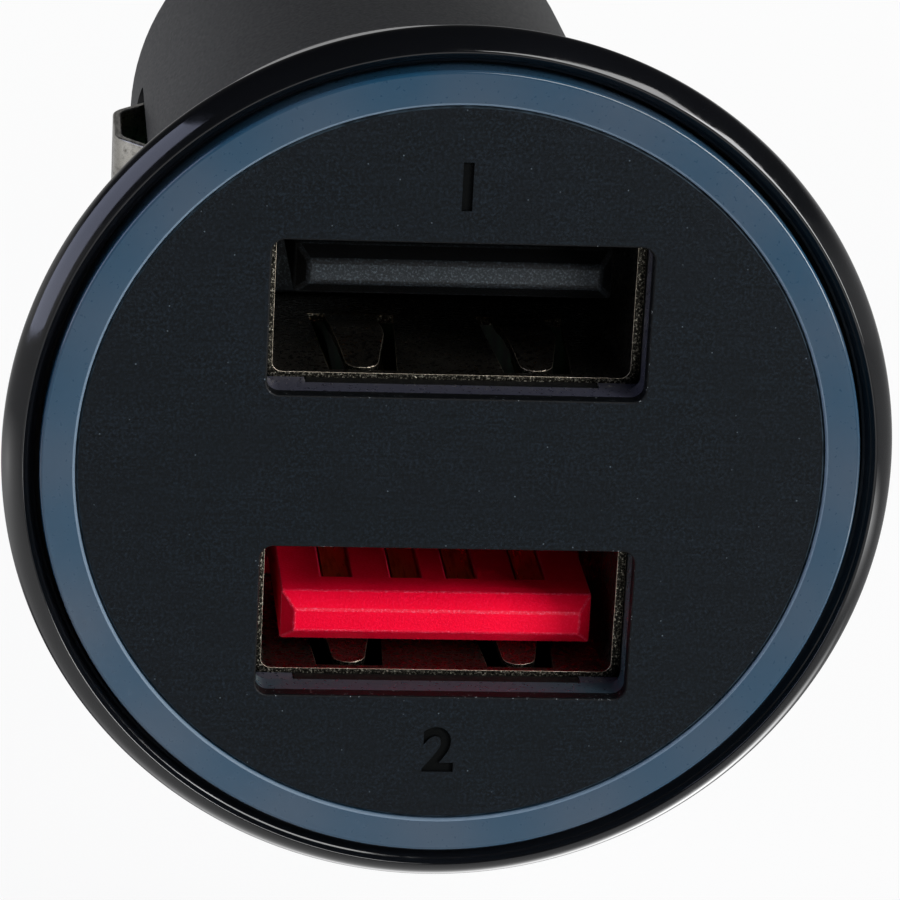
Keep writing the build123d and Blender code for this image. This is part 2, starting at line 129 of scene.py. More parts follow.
def new_piece(name, verts, faces, *finishes, slot, body="charger", smooth=True):
    """Object at the origin from vertices in millimetres and faces, riding on a body of the frame."""
    mesh = bpy.data.meshes.new(name)
    mesh.from_pydata((np.asarray(verts, float) * MM).tolist(), [], [list(map(int, f)) for f in faces])
    mesh.validate()
    mesh.update()
    set_faces(mesh, "use_smooth", smooth, bool)
    add_materials(mesh, *finishes)
    piece = placed(name, mesh)
    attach(piece, body)
    return piece


def grid_faces(rows, columns, wrap_rows=False, wrap_columns=False):
    """Quads between neighbours of a rows by columns grid of vertices, closed round where asked."""
    r = np.arange(rows if wrap_rows else rows - 1)
    c = np.arange(columns if wrap_columns else columns - 1)
    r, c = [a.ravel() for a in np.meshgrid(r, c, indexing="ij")]
    nr, nc = (r + 1) % rows, (c + 1) % columns
    return np.stack([r * columns + c, r * columns + nc, nr * columns + nc, nr * columns + c], 1)


def surface(x, y, z, wrap_rows=False, wrap_columns=False):
    """Vertices and quads of a grid, from coordinates that broadcast to its rows and columns."""
    verts = np.stack(np.broadcast_arrays(x, y, z), -1)
    return verts.reshape(-1, 3), grid_faces(*verts.shape[:2], wrap_rows, wrap_columns)


def turned(profile, steps, closed=True):
    """Surface turned about the Y axis: (r cos a, y, r sin a) for each (r, y) of the profile.

    The profile runs so that its faces look outwards when it goes round the section clockwise.
    """
    a = np.linspace(0, 2 * math.pi, steps, endpoint=False)
    r, y = np.asarray(profile, float).T[:, :, None]
    return surface(r * np.cos(a), y, r * np.sin(a), wrap_rows=closed, wrap_columns=True)


def rounded(points, radii, steps=6):
    """Closed outline with each corner replaced by an arc of its radius.

    The arc's centre lies on the bisector at radius / sin(half angle) from the corner.
    """
    points = np.asarray(points, float)
    out = []
    for before, here, after, r in zip(np.roll(points, 1, 0), points, np.roll(points, -1, 0), radii):
        u = (before - here) / np.linalg.norm(before - here)
        v = (after - here) / np.linalg.norm(after - here)
        half = math.acos(np.clip(u @ v, -1, 1)) / 2
        if r <= 0 or half > math.radians(89.5):
            out.append(here[None])
            continue
        centre = here + (u + v) / np.linalg.norm(u + v) * r / math.sin(half)
        start, end = here + u * r / math.tan(half) - centre, here + v * r / math.tan(half) - centre
        first, last = math.atan2(start[1], start[0]), math.atan2(end[1], end[0])
        turn = (last - first + math.pi) % (2 * math.pi) - math.pi
        a = first + turn * np.linspace(0, 1, steps + 1)
        out.append(centre + r * np.stack([np.cos(a), np.sin(a)], -1))
    return np.concatenate(out)


def rounded_rectangle(width, height, radius, corner_steps, side_steps):
    """Points of a rounded rectangle round the origin, anticlockwise, with its outward normals.

    Each corner is a quarter circle, and each side is divided evenly.
    """
    points, normals = [], []
    for k, (sx, sz) in enumerate(((1, 1), (-1, 1), (-1, -1), (1, -1))):
        a = math.pi / 2 * (k + np.linspace(0, 1, corner_steps + 1))
        normal = np.stack([np.cos(a), np.sin(a)], -1)
        centre = np.array([sx * (width / 2 - radius), sz * (height / 2 - radius)])
        points.append(centre + radius * normal)
        normals.append(normal)
    share = np.arange(1, side_steps)[:, None] / side_steps
    for k in range(4):
        here, there = points[k][-1], points[(k + 1) % 4][0]
        points[k] = np.concatenate([points[k], here + (there - here) * share])
        normals[k] = np.concatenate([normals[k], np.repeat(normals[k][-1:], len(share), 0)])
    return np.concatenate(points), np.concatenate(normals)


def framed(width, height, radius, profile, centre_z, closed=True):
    """Profile of (outward, depth) points carried round a rounded rectangle in the X-Z plane.

    Each vertex is the path's point plus outward times its normal, at the depth behind the front.
    """
    points, normals = rounded_rectangle(width, height, radius, corner_steps=8, side_steps=12)
    outward, depth = np.asarray(profile, float).T[:, :, None]
    x = points[:, 0] + outward * normals[:, 0]
    z = points[:, 1] + outward * normals[:, 1] + centre_z
    return surface(x, depth + FRONT, z, wrap_rows=closed, wrap_columns=True)


def joined(*surfaces):
    """One list of vertices and faces from several."""
    verts, faces, count = [], [], 0
    for v, f in surfaces:
        verts.append(np.asarray(v, float))
        faces += (np.asarray(f) + count).tolist()
        count += len(v)
    return np.concatenate(verts), faces


def tidy_mesh(piece):
    """Merges doubled vertices and turns the faces outwards."""
    bm = bmesh.new()
    bm.from_mesh(piece.data)
    bmesh.ops.remove_doubles(bm, verts=bm.verts, dist=1e-7)
    bmesh.ops.recalc_face_normals(bm, faces=bm.faces)
    bm.to_mesh(piece.data)
    bm.free()


def modify(piece, kind, **settings):
    """Modifier of the kind with its settings."""
    modifier = piece.modifiers.new(kind.title(), kind)
    for key, value in settings.items():
        setattr(modifier, key, value)
    return modifier


def bevel(piece, width, degrees, segments=3, **settings):
    """Rounds off the edges over the angle by a width in millimetres."""
    settings.update(width=width * MM, segments=segments, limit_method="ANGLE")
    modify(piece, "BEVEL", angle_limit=math.radians(degrees), **settings)


def sharpen(piece, degrees):
    """Keeps the edges over the angle sharp where the piece is shaded smooth."""
    piece.data.set_sharp_from_angle(angle=math.radians(degrees))


# Materials


def cycles(size):
    """Scale of a pattern in cycles per metre, from the size of one grain, line or cell in millimetres."""
    return 1000.0 / size


def feed(tree, made, inputs):
    """Sets or links a node's inputs, named or numbered. A hex code stands for its linear colour."""
    for key, value in inputs.items():
        if isinstance(value, bpy.types.NodeSocket):
            tree.links.new(value, made.inputs[key])
        else:
            made.inputs[key].default_value = colour(value) if isinstance(value, str) else value


def node(tree, kind, inputs=None, out=0, stops=(), **settings):
    """Adds a node with its settings and colour stops, feeds its inputs, and returns one output, or it.

    A stop is a position and a hex code or a grey. Of the numbered inputs, Mix takes its share as 0 and
    its colours as 6 and 7, and Map Range a value as 0, where it runs as 1 and 2, and what it gives as 3
    and 4.
    """
    made = tree.nodes.new("ShaderNode" + kind)
    for key, value in settings.items():
        setattr(made, key, value)
    if stops:
        elements = made.color_ramp.elements
        for _ in range(len(stops) - len(elements)):
            elements.new(0.5)
        for element, (position, value) in zip(elements, stops):
            element.position = position
            element.color = colour(value) if isinstance(value, str) else (value, value, value, 1)
    feed(tree, made, inputs or {})
    return made if out is None else made.outputs[out]


def material(name, base, **sockets):
    """Principled material, its node tree and its object coordinates.

    The values that are the same all over are set on the shader's own sockets.
    """
    made = bpy.data.materials.new(name)
    made.use_nodes = True
    made.diffuse_color = colour(base)
    tree = made.node_tree
    shader = tree.nodes["Principled BSDF"]
    feed(tree, shader, {"Base Color": base})
    feed(tree, shader, {key.replace("_", " "): value for key, value in sockets.items()})
    return made, tree, node(tree, "TexCoord", out="Object")


def finished(made, tint, relief, strength, height, dull=None):
    """Material with its colour, a bump of a height in millimetres and, where it varies, its roughness."""
    tree = made.node_tree
    bump = node(tree, "Bump", {"Height": relief, "Strength": strength, "Distance": height * MM})
    inputs = {"Base Color": tint, "Normal": bump}
    if dull is not None:
        inputs["Roughness"] = dull
    feed(tree, tree.nodes["Principled BSDF"], inputs)
    return made


def anodised_face(code):
    """Black anodised aluminium, brushed from side to side and then blasted with fine glass beads.

    The eye sees a dull blue-black with a sandy grain, a trace of the brushing and a few grains of dust.
    The beads leave pits of 0.03 mm, drawn 0.11 mm across so that they show.
    """
    made, tree, where = material("Blasted_anodised_aluminium", code, Roughness=0.55, Specular_IOR_Level=0.12)
    along = node(tree, "Mapping", {"Vector": where, "Scale": (0.05, 1, 1)})
    sand = {"Vector": where, "Scale": cycles(0.11), "Detail": 4.0, "Roughness": 0.65}
    grain = node(tree, "TexNoise", sand)
    lines = node(tree, "TexNoise", {"Vector": along, "Scale": cycles(0.09), "Detail": 3.0, "Roughness": 0.6})
    cloud = node(tree, "TexNoise", {"Vector": where, "Scale": cycles(2.2), "Detail": 3.0})
    pits = node(tree, "ValToRGB", {0: grain}, stops=[(0.34, "#05080b"), (0.5, "#0b1014"), (0.68, "#19222a")])
    brushed = node(tree, "ValToRGB", {0: lines}, stops=[(0.45, 0.0), (0.72, 0.34)])
    tint = node(tree, "Mix", {0: brushed, 6: pits, 7: "#151d24"}, out=2, data_type="RGBA")
    patches = node(tree, "ValToRGB", {0: cloud}, stops=[(0.4, 0.0), (0.64, 0.45)])
    tint = node(tree, "Mix", {0: patches, 6: tint, 7: code}, out=2, data_type="RGBA")
    flat = node(tree, "Mapping", {"Vector": where, "Rotation": (math.pi / 2, 0, 0)})
    cells = {"Vector": flat, "Scale": cycles(1.1)}
    dust = node(tree, "TexVoronoi", cells, out=None, voronoi_dimensions="2D").outputs
    near = node(tree, "MapRange", {0: dust["Distance"], 1: 0.016, 2: 0.028, 3: 1.0, 4: 0.0})
    share = node(tree, "SeparateColor", {0: dust["Color"]})
    rare = node(tree, "MapRange", {0: share, 1: 0.72, 2: 1.0, 3: 0.0, 4: 0.8})
    specks = node(tree, "Math", {0: near, 1: rare}, operation="MULTIPLY")
    tint = node(tree, "Mix", {0: specks, 6: tint, 7: "#5d6870"}, out=2, data_type="RGBA")
    dull = node(tree, "ValToRGB", {0: grain}, stops=[(0.3, 0.48), (0.7, 0.64)])
    return finished(made, tint, grain, strength=0.5, height=0.02, dull=dull)


def marked(name, base, marks, stops, strength, height, dull=None, patches=None, stretch=None, **sockets):
    """Material whose colour, bump and roughness follow one noise, with patches of a plain colour.

    The marks are the noise's size in millimetres, detail and roughness, the stops its colours and the
    dull ones its roughness. The patches are a size, detail, stops and a colour.
    """
    made, tree, where = material(name, base, **sockets)
    along = node(tree, "Mapping", {"Vector": where, "Scale": stretch}) if stretch else where
    size, detail, rough = marks
    noise = {"Vector": along, "Scale": cycles(size), "Detail": detail, "Roughness": rough}
    fine = node(tree, "TexNoise", noise)
    tint = node(tree, "ValToRGB", {0: fine}, stops=stops)
    if patches:
        size, detail, shares, other = patches
        cloud = node(tree, "TexNoise", {"Vector": where, "Scale": cycles(size), "Detail": detail})
        some = node(tree, "ValToRGB", {0: cloud}, stops=shares)
        tint = node(tree, "Mix", {0: some, 6: tint, 7: other}, out=2, data_type="RGBA")
    if dull:
        dull = node(tree, "ValToRGB", {0: fine}, stops=dull)
    return finished(made, tint, fine, strength, height, dull)


# Edges left by a tool, one of them with a painted highlight: colour, marks and their colours, strength
# and height of the bump in millimetres, and what else is set
EDGES = {
    # Anodised plate, cut after it was coloured: black with small chips, down to the bright metal
    "Cut_anodised_edge": (
        "#0c0e10", (0.15, 3.0, 0.7), [(0.6, "#090b0d"), (0.66, "#1c2124"), (0.73, "#8d9294")], 0.5, 0.03,
        {"Roughness": 0.5, "Specular_IOR_Level": 0.15},
    ),
    # Chamfer turned round the plate: a hair-thin line a little paler than it as a painted highlight, dull
    # in places where the tool chattered
    "Anodised_rim_painted_highlight": (
        "#27323a", (0.6, 3.0, 0.5), [(0.35, "#141b20"), (0.6, "#2c3942")], 0.3, 0.01,
        {"Roughness": 0.4, "Specular_IOR_Level": 0.3},
    ),
    # Sheared nickel-plated strip: a torn dark line with bright burrs
    "Sheared_nickel_edge": (
        "#6f6a61", (0.1, 3.0, 0.75), [(0.45, "#181815"), (0.56, "#504d45"), (0.66, "#f0ead8")], 0.7, 0.03,
        {"Roughness": 0.34, "Metallic": 1.0, "dull": [(0.4, 0.5), (0.65, 0.3)]},
    ),
}


def edge_finish(name):
    """Edge as a cutter, a lathe or a press leaves it, or with a painted highlight along it."""
    *row, others = EDGES[name]
    return marked(name, *row, **others)


def light_guide_plastic(name, grey, teal, least, most):
    """Diffusing polycarbonate, moulded clear with a frosting behind, over sixteen lamp windows.

    The eye sees a calm blue-green band with a greyer patch every 22.5 degrees, some stronger than others.
    Its roughness wanders between the least and the most: the edge is polished and the band is not.
    """
    made, tree, where = material(name, teal, IOR=1.58)
    parts = node(tree, "SeparateXYZ", {0: where}, out=None).outputs
    angle = node(tree, "Math", {0: parts["Z"], 1: parts["X"]}, operation="ARCTAN2")
    turns = node(tree, "Math", {0: angle, 1: 16.0}, operation="MULTIPLY")
    wave = node(tree, "Math", {0: turns}, operation="COSINE")
    uneven = node(tree, "TexNoise", {"Vector": where, "Scale": cycles(7.0), "Detail": 2.0})
    drift = node(tree, "MapRange", {0: uneven, 1: 0.3, 2: 0.7, 3: -1.2, 4: 1.2})
    windows = node(tree, "Math", {0: wave, 1: drift}, operation="ADD")
    share = node(tree, "MapRange", {0: windows, 1: -1.6, 2: 1.6, 3: 0.0, 4: 1.0})
    cloud = node(tree, "TexNoise", {"Vector": where, "Scale": cycles(2.4), "Detail": 2.0})
    both = node(tree, "Mix", {0: share, 6: teal, 7: grey}, out=2, data_type="RGBA")
    some = node(tree, "ValToRGB", {0: cloud}, stops=[(0.3, 0.0), (0.7, 0.3)])
    tint = node(tree, "Mix", {0: some, 6: both, 7: teal}, out=2, data_type="RGBA")
    fine = node(tree, "TexNoise", {"Vector": where, "Scale": cycles(0.2), "Detail": 2.0})
    dull = node(tree, "ValToRGB", {0: fine}, stops=[(0.3, least), (0.7, most)])
    return finished(made, tint, fine, strength=0.12, height=0.01, dull=dull)


def polished_shell(code, gloss):
    """Black ABS from a mirror-polished mould.

    The eye sees near black with clear reflections, bent a little by the waves of the moulded wall, and a
    faint dullness where fingers have rubbed it.
    """
    made, tree, where = material("Polished_black_ABS", code, Roughness=gloss, IOR=1.54)
    waves = node(tree, "TexNoise", {"Vector": where, "Scale": cycles(7.7), "Detail": 1.0})
    wear = node(tree, "TexNoise", {"Vector": where, "Scale": cycles(0.4), "Detail": 4.0, "Roughness": 0.7})
    dull = node(tree, "ValToRGB", {0: wear}, stops=[(0.35, gloss), (0.75, gloss + 0.11)])
    tint = node(tree, "ValToRGB", {0: waves}, stops=[(0.3, "#08090b"), (0.7, "#0d0e11")])
    return finished(made, tint, waves, strength=0.15, height=0.06, dull=dull)


# Moulded and pressed finishes: deep colour, colour of the grain's tops, grain across and high in
# millimetres, roughness, specular level
MOULDED = {
    # Clear resin with smoke in it, polished: a violet-grey wall with a soft shine
    "Smoked_polycarbonate": ("#3a3b47", "#4d4e5b", 0.2, 0.01, 0.3, 0.5),
    # The same resin round the lower port, made greener to offset the crimson light the tongue throws on it,
    # a painted correction for light
    "Polycarbonate_red_light_offset": ("#2b3d46", "#3d505a", 0.2, 0.01, 0.3, 0.5),
    # Inner edge of the light ring: paler than the band as a painted highlight all round it, soft
    "Polycarbonate_edge_painted_highlight": ("#56697a", "#6d8092", 0.3, 0.01, 0.5, 0.4),
    # Bottom of an engraved numeral: dead black, darker than the face round it
    "Engraved_black": ("#020303", "#06080a", 0.06, 0.01, 0.75, 0.08),
    # ABS moulded black and left dull, because it is only seen down the gaps
    "Black_frame_ABS": ("#050606", "#0a0b0c", 0.15, 0.03, 0.6, 0.2),
    # Polycarbonate from a spark-eroded mould: black with a leather-like sheen
    "Black_grained_polycarbonate": ("#131416", "#1d1f22", 0.16, 0.03, 0.5, 0.5),
    # The same resin from a finer mould: black, a shade glossier than the barrel
    "Black_nose_polycarbonate": ("#131416", "#1b1c1f", 0.12, 0.03, 0.42, 0.5),
    # Iron powder pressed and fired: dull slate grey
    "Pressed_ferrite": ("#26282a", "#383a3c", 0.2, 0.03, 0.7, 0.5),
    # Epoxy moulded round a chip: dark and chalky
    "Epoxy_package": ("#121315", "#1f2123", 0.08, 0.03, 0.6, 0.5),
    # Ceramic cut and fired: warm tan with a slight glaze
    "Fired_ceramic": ("#8d6a48", "#a58260", 0.1, 0.03, 0.4, 0.5),
    # Silicone poured over a lamp: cream, a little wet-looking
    "Lamp_silicone": ("#e8e2b8", "#f4f0d4", 0.1, 0.03, 0.35, 0.5),
}


def moulded(name, code=None):
    """Plastic, ferrite or ceramic with the fine grain of its mould."""
    deep, pale, grain, height, roughness, level = MOULDED[name]
    deep = code or deep
    return marked(
        name, deep, (grain, 3.0, 0.6), [(0.0, deep), (1.0, pale)], 0.4, height,
        dull=[(0.3, roughness - 0.06), (0.7, roughness + 0.1)],
        patches=(4.5, 2.0, [(0.3, 0.1), (0.7, 0.6)], deep),
        Roughness=roughness, IOR=1.5, Specular_IOR_Level=level,
    )


# Metals: bright colour, tarnished colour, roughness, pits across in millimetres, stretch of the pits
METALS = {
    # Steel strip, stamped and nickel plated: warm grey, mirror-like with dull patches
    "Nickel_plated_steel": ("#a59f95", "#3a3631", 0.2, 0.2, (1, 1, 1)),
    # The strip's rounded edges: paler than the nickel as a painted highlight, with a satin shine
    "Nickel_edge_painted_highlight": ("#fff1da", "#8d8576", 0.34, 0.1, (1, 1, 1)),
    # Bronze, rolled and flashed with gold: yellow, drawn along the contact
    "Gold_flashed_bronze": ("#d9a94e", "#8a6527", 0.25, 0.3, (1, 0.1, 1)),
    # Spring strip, rolled and nickel plated: silvery, with roll lines along it
    "Nickel_plated_spring_strip": ("#c6c3bb", "#77736a", 0.22, 0.3, (1, 0.15, 1)),
    # Hard-drawn wire: grey and slightly oily
    "Spring_wire": ("#a9a8a4", "#55534f", 0.28, 0.2, (1, 1, 1)),
    # Brass turned on a lathe and nickel plated: bright, with fine rings round it
    "Turned_nickel_plated_brass": ("#cfc9bd", "#8d877a", 0.16, 0.3, (1, 8, 1)),
    # Brass dipped in tin: straw-coloured and cloudy
    "Tinned_brass": ("#c9b27c", "#7d6c45", 0.3, 0.4, (1, 1, 1)),
    # Aluminium cup drawn deep: pale, with lines round it
    "Drawn_aluminium_can": ("#c9cacc", "#8f9092", 0.3, 0.3, (1, 8, 1)),
    # Brass pin flashed with gold: yellow and smooth
    "Gold_flashed_pin": ("#cda655", "#86682e", 0.3, 0.3, (1, 1, 1)),
}


def metal(name):
    """Plated, drawn or turned metal: bright, with dull patches and small pits or lines."""
    bright, tarnish, roughness, across, stretch = METALS[name]
    return marked(
        name, bright, (across, 4.0, 0.7), [(0.3, tarnish), (0.5, bright), (1.0, bright)], 0.25, 0.02,
        dull=[(0.25, roughness + 0.25), (0.65, roughness)],
        patches=(3.3, 3.0, [(0.35, 0.05), (0.7, 0.5)], tarnish),
        stretch=stretch, Metallic=1.0, Roughness=roughness,
    )


# Glass-filled nylon from a spark-eroded mould: colour, colour of the hollows, colour of the fibres'
# specks, specular level
NYLONS = {
    # Front of the upper tongue: slate grey, scaly, with pale specks of fibre
    "Grey_glass_filled_nylon": ("#1f2529", "#12161a", "#5a666e", 0.3),
    # Its flanks: almost black, the same grey darkened as painted shade
    "Grey_nylon_painted_shade": ("#030405", "#020304", "#0b0e11", 0.12),
    # Its edges: darkened well below the grey as painted shade, with paler specks where plugs rubbed them
    "Worn_and_shaded_grey_nylon": ("#0a0d10", "#07090b", "#3a444b", 0.25),
    # The lower tongue: strong crimson, matt, with fine lighter specks
    "Crimson_glass_filled_nylon": ("#f80030", "#ee002c", "#ff1846", 0.08),
    # Its edges, rubbed by plugs: pinker and chalky
    "Rubbed_crimson_nylon": ("#f20a38", "#ea0030", "#ff6c8a", 0.25),
}


def grained_nylon(name, code=None):
    """Glass-filled nylon with scaly grain 0.1 mm across and specks where its fibres reach the surface."""
    base, hollow, speck, level = NYLONS[name]
    base = code or base
    made, tree, where = material(name, base, Roughness=0.55, IOR=1.53, Specular_IOR_Level=level)
    fine = node(tree, "TexNoise", {"Vector": where, "Scale": cycles(0.09), "Detail": 4.0, "Roughness": 0.65})
    cloud = node(tree, "TexNoise", {"Vector": where, "Scale": cycles(0.67), "Detail": 3.0, "Roughness": 0.6})
    some = node(tree, "ValToRGB", {0: cloud}, stops=[(0.35, 0.0), (0.65, 0.6)])
    tint = node(tree, "Mix", {0: some, 6: base, 7: hollow}, out=2, data_type="RGBA")
    fibres = node(tree, "ValToRGB", {0: fine}, stops=[(0.5, 0.0), (0.72, 0.75)])
    tint = node(tree, "Mix", {0: fibres, 6: tint, 7: speck}, out=2, data_type="RGBA")
    dull = node(tree, "ValToRGB", {0: fine}, stops=[(0.3, 0.62), (0.7, 0.45)])
    return finished(made, tint, fine, strength=0.6, height=0.04, dull=dull)


def board_finish():
    """Glass-fibre board under solder mask, screen printed.

    The eye sees glossy green, with the 0.4 mm weave of the glass just showing.
    """
    made, tree, where = material("Solder_mask_board", "#14502f", Roughness=0.35, IOR=1.5)
    weave = node(tree, "TexWave", {"Vector": where, "Scale": cycles(1.5), "Distortion": 1.5}, out="Fac")
    tint = node(tree, "ValToRGB", {0: weave}, stops=[(0.0, "#0f4026"), (1.0, "#1a5c38")])
    return finished(made, tint, weave, strength=0.2, height=0.01)


# Settings


class ChargerFace(bpy.types.PropertyGroup):
    face_colour: bpy.props.StringProperty(
        name="Face colour", description="Hex colour of the anodised face plate", default="#0b1014"
    )
    guide_teal: bpy.props.StringProperty(
        name="Ring colour", description="Hex colour of the light ring between its lamps", default="#1a3e55"
    )
    guide_grey: bpy.props.StringProperty(
        name="Ring window colour", description="Hex colour of the light ring over a lamp", default="#334556"
    )
    numeral_height: bpy.props.FloatProperty(
        name="Numeral height", description="Height of the port numerals", default=0.0017, unit="LENGTH"
    )
    numeral_depth: bpy.props.FloatProperty(
        name="Numeral depth", description="Depth of the engraved numerals", default=0.00012, unit="LENGTH"
    )


class ChargerHead(bpy.types.PropertyGroup):
    head_colour: bpy.props.StringProperty(
        name="Head colour", description="Hex colour of the polished head", default="#0a0b0d"
    )
    gloss: bpy.props.FloatProperty(
        name="Gloss", description="Roughness of the head", default=0.05, min=0, max=1, subtype="FACTOR"
    )


class ChargerPorts(bpy.types.PropertyGroup):
    upper_colour: bpy.props.StringProperty(
        name="Upper tongue colour", description="Hex colour of the upper insulator", default="#1f2529"
    )
    lower_colour: bpy.props.StringProperty(
        name="Lower tongue colour", description="Hex colour of the lower insulator", default="#f80030"
    )
    finger_bow: bpy.props.FloatProperty(
        name="Finger bow", description="Bow of a finger into the port", default=0.0005, unit="LENGTH"
    )


class ChargerPlug(bpy.types.PropertyGroup):
    barrel_colour: bpy.props.StringProperty(
        name="Barrel colour", description="Hex colour of the moulded plug barrel", default="#131416"
    )
    leaf_thickness: bpy.props.FloatProperty(
        name="Leaf thickness", description="Sheet of the side contacts", default=0.00035, unit="LENGTH"
    )


class ChargerStage(bpy.types.PropertyGroup):
    lens: bpy.props.FloatProperty(
        name="Lens", description="Focal length of the camera on a 36 mm sensor, in millimetres", default=169.5
    )
    floor_drop: bpy.props.FloatProperty(
        name="Floor drop", description="Depth of the floor below the axis", default=0.030, unit="LENGTH"
    )


# Pieces


def head_piece(settings):
    """Head: crest, bezel, flared cone, shoulder and the hollow inside, in one turned surface.

    The bezel is a cubic with two control points between its ends,
    (1 - t)^3 a + 3 t (1 - t)^2 b + 3 t^2 (1 - t) c + t^3 d. It leaves the crest at 30 degrees and meets
    the flared cone on its widest circle. Inside the crest a steep wall drops to the light ring, with a
    narrow ledge half way down.
    """
    t = np.linspace(0, 1, 28)[:, None]
    a, b, c, d = np.array([(14.84, 0.02), (15.18, 0.217), (15.5, 0.56), (15.5, 1.0)]) + [0, FRONT]
    bezel = (1 - t) ** 3 * a + 3 * t * (1 - t) ** 2 * b + 3 * t**2 * (1 - t) * c + t**3 * d
    wall = [
        (14.37, FRONT + 2.1),
        (14.37, FRONT + 0.56),
        (14.46, FRONT + 0.5),
        (14.6, FRONT + 0.24),
        (14.645, FRONT + 0.206),
        (14.77, FRONT - 0.021),
        (14.84, FRONT + 0.02),
    ]
    before = rounded(wall, [0, 0.03, 0.02, 0.02, 0.02, 0.079, 0], 8)
    cone_and_hollow = [
        (15.44, FRONT + 1.35),
        (12.186, FRONT + 15.3),
        (11.75, -0.3),
        (11.45, 0.0),
        (10.45, 0.0),
        (10.45, -1.2),
        (10.98, -1.2),
        (11.19, FRONT + 15.3),
        (13.87, FRONT + 3.1),
        (13.87, FRONT + 2.1),
    ]
    after = rounded(cone_and_hollow, [0, 2.0, 0.12, 0.12, 0.1, 0.05, 0.1, 0.5, 0.2, 0.05], 5)
    verts, faces = turned(np.concatenate([before[:-1], bezel, after[1:]])[::-1], ROUND_STEPS)
    finish = polished_shell(settings.head_colour, settings.gloss)
    piece = new_piece("head_shell", verts, faces, finish, slot="head_housing")
    tidy_mesh(piece)
    sharpen(piece, 40)
    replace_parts(piece, "head_housing")


def ring_piece(settings):
    """Light guide's raised rim with rounded edges, and the front of its disc.

    Its inner edge is painted paler, a painted highlight, and its outer edge is polished, each between
    the radii named below.
    """
    rim = [
        (12.98, FRONT + GUIDE_FRONT),
        (12.98, FRONT - 0.1),
        (14.2, FRONT - 0.1),
        (14.2, FRONT + GUIDE_BACK),
        (12.0, FRONT + GUIDE_BACK),
        (12.0, FRONT + GUIDE_FRONT),
    ]
    verts, faces = turned(rounded(rim, [0, 0.12, 0.13, 0.05, 0.0, 0.0])[::-1], ROUND_STEPS)
    tints = settings.guide_grey, settings.guide_teal
    band = light_guide_plastic("Diffusing_polycarbonate", *tints, 0.26, 0.4)
    polished = light_guide_plastic("Polished_polycarbonate", *tints, 0.1, 0.16)
    edge_highlight = moulded("Polycarbonate_edge_painted_highlight")
    piece = new_piece("light_ring", verts, faces, band, edge_highlight, polished, slot="light_guide")
    tidy_mesh(piece)
    sharpen(piece, 40)
    x, y, z = vectors(piece.data.polygons, "center").T / MM
    reach = np.hypot(x, z)
    raised = y < FRONT + 0.02
    # The paler inner edge is a painted highlight; the outer edge differs from the band in roughness only.
    edge_highlight_from, edge_highlight_to, polished_from = 12.97, 13.065, 14.07
    inner_edge = (reach > edge_highlight_from) & (reach < edge_highlight_to) & raised
    outer_edge = (reach > polished_from) & raised
    set_faces(piece.data, "material_index", inner_edge + 2 * outer_edge)
    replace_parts(piece, "light_guide")


def opening_pieces():
    """Walls of the light guide's two openings, and the lugs behind their corners."""
    section = [(0.0, GUIDE_FRONT), (0.0, GUIDE_BACK), (0.6, GUIDE_BACK), (0.6, GUIDE_FRONT)]
    walls = [framed(*OPENING, section, centre) for centre in (UPPER, LOWER)]
    upper_faces = len(walls[0][1])
    smoked = moulded("Smoked_polycarbonate")
    red_light_offset = moulded("Polycarbonate_red_light_offset")
    piece = new_piece("opening_walls", *joined(*walls), smoked, red_light_offset, slot="light_guide")
    # The lower port's walls take the greener copy, painted to offset the crimson light on them.
    set_faces(piece.data, "material_index", np.arange(len(piece.data.polygons)) >= upper_faces)
    tidy_mesh(piece)
    sharpen(piece, 40)
    lugs = []
    for centre in (UPPER, LOWER):
        for side in (-1, 1):
            for edge in (-1, 1):
                x = side * (OPENING[0] / 2 - 0.7)
                z = centre + edge * (OPENING[1] / 2 + 0.25)
                lugs.append(block((1.4, 0.6, 0.5), (x, FRONT + 1.8, z)))
    new_piece("guide_lugs", *joined(*lugs), smoked, slot="light_guide", smooth=False)


def block(size, centre):
    """Box of the size round a centre."""
    signs = np.array([[x, y, z] for x in (-1, 1) for y in (-1, 1) for z in (-1, 1)], float)
    faces = [(0, 1, 3, 2), (4, 6, 7, 5), (0, 4, 5, 1), (2, 3, 7, 6), (0, 2, 6, 4), (1, 5, 7, 3)]
    return signs * np.array(size) / 2 + np.array(centre), faces


def numeral_mesh(text, height, centre_z, depth):
    """Closed mesh of a numeral, its middle on x = 0, from 0.1 mm before the face to the depth behind.

    The height and the depth are in metres.
    """
    curve = bpy.data.curves.new("numeral_curve", "FONT")
    curve.body = text
    curve.align_x = "CENTER"
    curve.extrude = 0.5
    curve.offset = 0.03
    curve.resolution_u = 6
    holder = placed("numeral_holder", curve)
    bpy.context.view_layer.update()
    mesh = bpy.data.meshes.new_from_object(holder)
    bpy.data.objects.remove(holder)
    points = vectors(mesh.vertices, "co")
    low, high = points.min(0), points.max(0)
    scale = height / (high[1] - low[1])
    x = (points[:, 0] - (low[0] + high[0]) / 2) * scale
    z = (points[:, 1] - (low[1] + high[1]) / 2) * scale + centre_z * MM
    front = FRONT * MM
    y = np.where(points[:, 2] > 0, front - 0.0001, front + depth)
    mesh.vertices.foreach_set("co", np.stack([x, y, z], -1).astype(np.float32).ravel())
    mesh.update()
    return mesh


